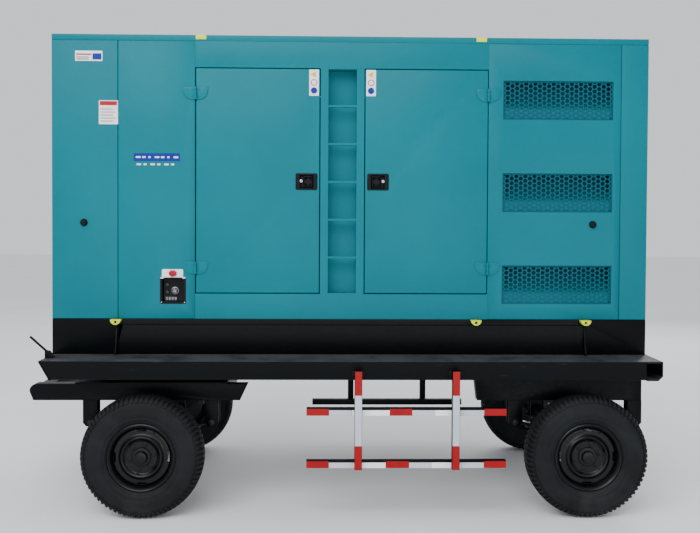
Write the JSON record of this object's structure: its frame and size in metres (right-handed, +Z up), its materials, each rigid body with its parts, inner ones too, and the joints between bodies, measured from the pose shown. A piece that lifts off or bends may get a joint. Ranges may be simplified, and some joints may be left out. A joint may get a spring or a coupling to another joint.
{
  "type": "towable diesel generator",
  "caption": "Enclosed diesel generator on a full-turntable four-wheel trailer, with swinging service doors, ladder recess, air grilles, side guards and a steering bogie.",
  "frame": {"origin": "middle of the machine's bounding box, on the ground under the tyres", "axes": "+X towards the rear, the tow end at -X; +Y towards the far side; +Z up"},
  "size_m": [4.221, 2.1006, 3.1905],
  "materials": {
    "canopy_teal": "semi-gloss powder coat",
    "chassis_black": "satin chassis paint",
    "tyre": "matt tyre rubber",
    "wheel_black": "satin black wheel paint",
    "guard_tube": "square tube under reflective tape",
    "grille": "perforated sheet in shade",
    "bare_steel": "greased or heat-dulled steel",
    "black_plastic": "moulded black plastic",
    "stop_red": "gloss red plastic",
    "engine_green": "painted castings",
    "machine_grey": "satin machine enamel",
    "battery": "moulded battery case",
    "cabinet_grey": "textured light grey paint"
  },
  "bodies": {
    "chassis": {"rear_axle": "chassis_black", "leaf_spring_rear_near": "chassis_black", "leaf_spring_rear_far": "chassis_black", "slew_ring_upper": "bare_steel", "deck": "chassis_black", "main_beam_near": "chassis_black", "main_beam_far": "chassis_black", "front_apron": "chassis_black", "rear_bumper": "chassis_black", "rear_spring_frame_near": "chassis_black", "rear_spring_frame_far": "chassis_black", "side_guard_near": "guard_tube", "side_guard_far": "guard_tube", "brake_bracket": "chassis_black", "fuel_tank": "chassis_black", "front_side_panel_near": "canopy_teal", "rear_side_panel_near": "canopy_teal", "air_grille_near": "grille", "door_frame_near": "canopy_teal", "front_side_panel_far": "canopy_teal", "rear_side_panel_far": "canopy_teal", "air_grille_far": "grille", "door_frame_far": "canopy_teal", "roof": "canopy_teal", "canopy_front_wall": "canopy_teal", "canopy_rear_wall": "canopy_teal", "stop_socket_box": "black_plastic", "engine": "engine_green", "alternator": "machine_grey", "radiator": "machine_grey", "exhaust_silencer": "bare_steel", "battery": "battery", "control_cabinet": "cabinet_grey"},
    "bogie": {"bogie_frame": "chassis_black", "tow_bracket": "chassis_black", "slew_ring_lower": "bare_steel", "front_axle": "chassis_black", "leaf_spring_front_near": "chassis_black", "leaf_spring_front_far": "chassis_black"},
    "wheel_front_near": {"tyre_front_near": "tyre", "wheel_front_near": "wheel_black"},
    "wheel_front_far": {"tyre_front_far": "tyre", "wheel_front_far": "wheel_black"},
    "wheel_rear_near": {"tyre_rear_near": "tyre", "wheel_rear_near": "wheel_black"},
    "wheel_rear_far": {"tyre_rear_far": "tyre", "wheel_rear_far": "wheel_black"},
    "door_left_near": {"door_left_near": "canopy_teal"},
    "latch_left_near": {"latch_left_near": "black_plastic"},
    "door_left_far": {"door_left_far": "canopy_teal"},
    "latch_left_far": {"latch_left_far": "black_plastic"},
    "door_right_near": {"door_right_near": "canopy_teal"},
    "latch_right_near": {"latch_right_near": "black_plastic"},
    "door_right_far": {"door_right_far": "canopy_teal"},
    "latch_right_far": {"latch_right_far": "black_plastic"},
    "control_door": {"control_door": "canopy_teal"},
    "brake_lever": {"brake_lever": "chassis_black"},
    "stop_button": {"emergency_stop_button": "stop_red"},
    "fan": {"cooling_fan": "black_plastic"}
  },
  "joints": [
    {"name": "bogie_steer", "type": "hinge", "parent": "chassis", "child": "bogie", "pos_m": [-1.2825, 0, 0.8608], "axis": [0, 0, 1], "range_deg": [-45, 45]},
    {"name": "wheel_front_near_spin", "type": "hinge", "parent": "bogie", "child": "wheel_front_near", "pos_m": [-1.2825, -0.8525, 0.4025], "axis": [0, 1, 0], "continuous": true},
    {"name": "wheel_front_far_spin", "type": "hinge", "parent": "bogie", "child": "wheel_front_far", "pos_m": [-1.2825, 0.8525, 0.4025], "axis": [0, 1, 0], "continuous": true},
    {"name": "wheel_rear_near_spin", "type": "hinge", "parent": "chassis", "child": "wheel_rear_near", "pos_m": [1.6475, -0.8525, 0.4025], "axis": [0, 1, 0], "continuous": true},
    {"name": "wheel_rear_far_spin", "type": "hinge", "parent": "chassis", "child": "wheel_rear_far", "pos_m": [1.6475, 0.8525, 0.4025], "axis": [0, 1, 0], "continuous": true},
    {"name": "door_left_near_swing", "type": "hinge", "parent": "chassis", "child": "door_left_near", "pos_m": [-0.9635, -0.715, 2.2155], "axis": [0, 0, -1], "range_deg": [0, 180]},
    {"name": "latch_left_near_pull", "type": "hinge", "parent": "door_left_near", "child": "latch_left_near", "pos_m": [-0.1755, -0.692, 2.2135], "axis": [0, 0, 1], "range_deg": [0, 18], "stiffness_Nm_per_rad": 0.6},
    {"name": "door_left_far_swing", "type": "hinge", "parent": "chassis", "child": "door_left_far", "pos_m": [-0.9635, 0.715, 2.2155], "axis": [0, 0, 1], "range_deg": [0, 180]},
    {"name": "latch_left_far_pull", "type": "hinge", "parent": "door_left_far", "child": "latch_left_far", "pos_m": [-0.1755, 0.692, 2.2135], "axis": [0, 0, -1], "range_deg": [0, 18], "stiffness_Nm_per_rad": 0.6},
    {"name": "door_right_near_swing", "type": "hinge", "parent": "chassis", "child": "door_right_near", "pos_m": [1.0085, -0.715, 2.2155], "axis": [0, 0, 1], "range_deg": [0, 180]},
    {"name": "latch_right_near_pull", "type": "hinge", "parent": "door_right_near", "child": "latch_right_near", "pos_m": [0.2205, -0.692, 2.2135], "axis": [0, 0, -1], "range_deg": [0, 18], "stiffness_Nm_per_rad": 0.6},
    {"name": "door_right_far_swing", "type": "hinge", "parent": "chassis", "child": "door_right_far", "pos_m": [1.0085, 0.715, 2.2155], "axis": [0, 0, -1], "range_deg": [0, 180]},
    {"name": "latch_right_far_pull", "type": "hinge", "parent": "door_right_far", "child": "latch_right_far", "pos_m": [0.2205, 0.692, 2.2135], "axis": [0, 0, 1], "range_deg": [0, 18], "stiffness_Nm_per_rad": 0.6},
    {"name": "control_door_swing", "type": "hinge", "parent": "chassis", "child": "control_door", "pos_m": [2.1035, 0.313, 2.4955], "axis": [0, 0, 1], "range_deg": [0, 110]},
    {"name": "brake_lever_pull", "type": "hinge", "parent": "chassis", "child": "brake_lever", "pos_m": [-1.9025, -0.85, 1.0769], "axis": [0, 1, 0], "range_deg": [0, 50]},
    {"name": "stop_button_press", "type": "slide", "parent": "chassis", "child": "stop_button", "axis": [0, 1, 0], "range_m": [0, 0.006], "stiffness_N_per_m": 800},
    {"name": "cooling_fan_spin", "type": "hinge", "parent": "chassis", "child": "fan", "pos_m": [-0.9985, 0, 1.9558], "axis": [1, 0, 0], "continuous": true}
  ]
}
